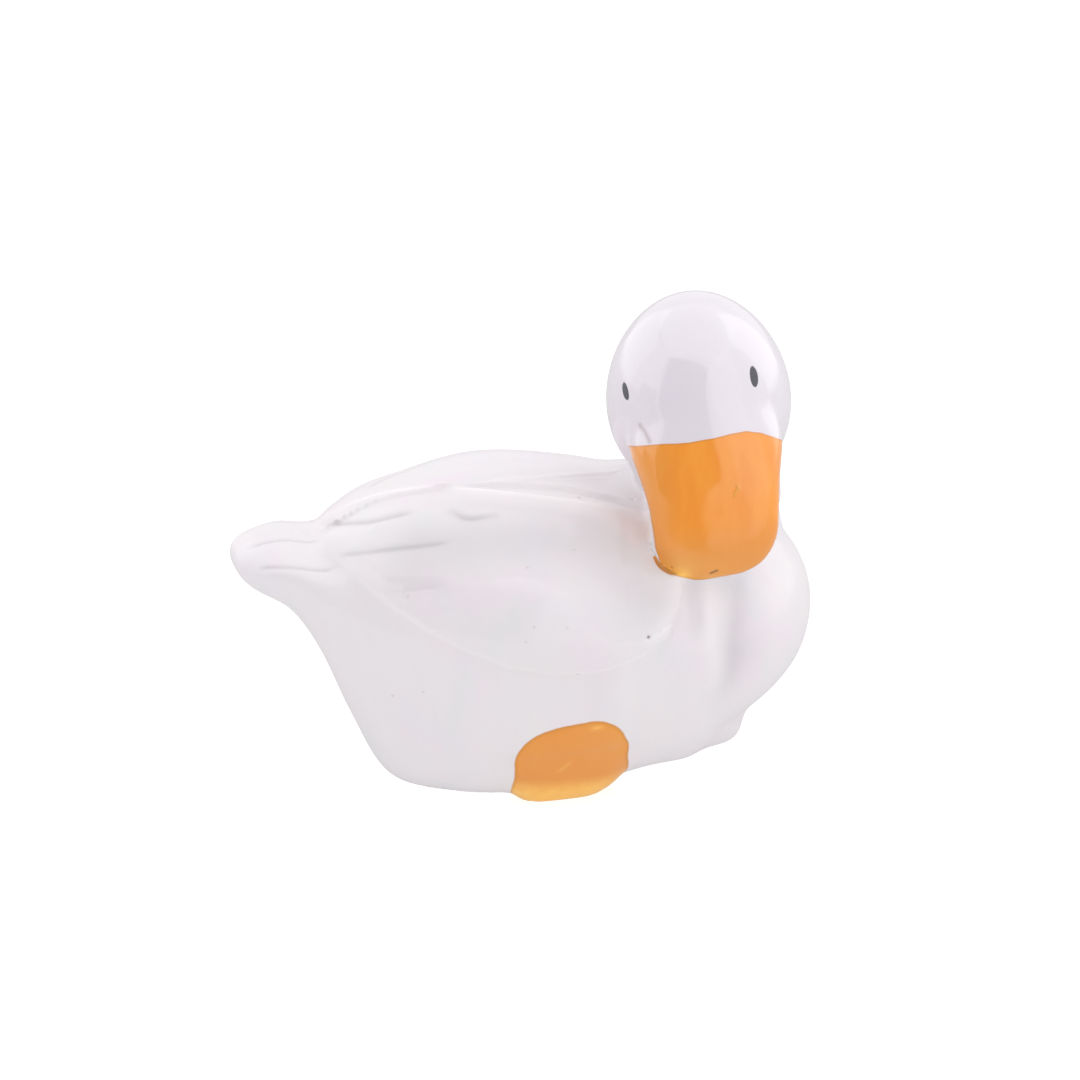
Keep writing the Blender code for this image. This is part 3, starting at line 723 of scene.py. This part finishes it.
def lamp(name, size, place, brightness):
    """A softbox aimed at the duck, as bright as the given share of white."""
    deselect()
    bpy.ops.object.light_add(type="AREA", location=place)
    light = bpy.context.object
    light.name = name
    light.data.shape = "RECTANGLE"
    light.data.size, light.data.size_y = size
    light.data.energy = math.pi * size[0] * size[1] * brightness
    light.rotation_euler = (Vector((0, 0, 0.04)) - Vector(place)).to_track_quat("-Z", "Y").to_euler()


def round_about(degrees, distance, height):
    """A place round the duck, by degrees from its right side towards its front."""
    return distance * math.sin(math.radians(degrees)), -distance * math.cos(math.radians(degrees)), height


def studio():
    floor()
    # The unlit room behind the camera, seen only in the gloss through the tent's front opening
    opening = card("dark_opening", (1.35, 1.16), round_about(-33, 0.85, 0.58), 0.05, OPENING_CORNERS)
    flap = card("side_flap", (0.40, 0.26), round_about(-84, 0.80, 0.08), 0.40)
    for sheet in (opening, flap):
        sheet.visible_diffuse = False
        sheet.visible_shadow = False
    lamp("top_softbox", (1.8, 1.8), (0.05, 0.15, 1.05), 0.36)
    lamp("left_softbox", (0.55, 0.8), round_about(-95, 0.85, 0.42), 0.20)
    lamp("right_softbox", (0.72, 0.9), round_about(31, 0.85, 0.45), 0.32)
    lamp("side_softbox", (0.7, 1.0), round_about(106, 0.85, 0.45), 0.70)
    lamp("rear_softbox", (0.9, 0.9), round_about(-140, 0.90, 0.35), 0.50)
    world = bpy.data.worlds.new("white_tent")
    bpy.context.scene.world = world
    shade = Shader(world, "Background")
    camera_ray = shade.node("ShaderNodeLightPath", output="Is Camera Ray")
    glossy_ray = shade.node("ShaderNodeLightPath", output="Is Glossy Ray")
    shade.set(Color=(1, 1, 1, 1), Strength=TENT_LIGHT + camera_ray * (1.0 - TENT_LIGHT)
              + glossy_ray * (TENT_GLOSS - TENT_LIGHT))


def camera():
    """A long lens from the duck's right, 12 degrees behind its side and 25 above the floor."""
    level = math.cos(CAMERA_RISE)
    back = Vector((math.sin(CAMERA_TURN) * level, -math.cos(CAMERA_TURN) * level, math.sin(CAMERA_RISE)))
    right = Vector((math.cos(CAMERA_TURN), math.sin(CAMERA_TURN), 0))
    up = back.cross(right)
    aim = Vector((0, 0, AIM_HEIGHT)) + right * (SHIFT_RIGHT * PIXEL) + up * (SHIFT_UP * PIXEL)
    deselect()
    turned = back.to_track_quat("Z", "Y").to_euler()
    bpy.ops.object.camera_add(location=aim + back * CAMERA_DISTANCE, rotation=turned)
    eye = bpy.context.object
    eye.name = "photo_camera"
    eye.data.angle = 2 * math.atan(PICTURE_WIDTH / 2 * PIXEL / CAMERA_DISTANCE)
    bpy.context.scene.camera = eye


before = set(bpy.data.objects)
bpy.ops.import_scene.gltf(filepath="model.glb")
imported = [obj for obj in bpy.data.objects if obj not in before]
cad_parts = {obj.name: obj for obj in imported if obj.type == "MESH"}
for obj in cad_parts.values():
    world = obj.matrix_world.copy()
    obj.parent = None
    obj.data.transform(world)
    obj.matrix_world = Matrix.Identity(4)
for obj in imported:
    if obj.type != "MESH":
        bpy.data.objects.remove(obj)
solid_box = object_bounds()
bpy.context.scene.view_settings.view_transform = "Standard"
camera()
studio()
duck()
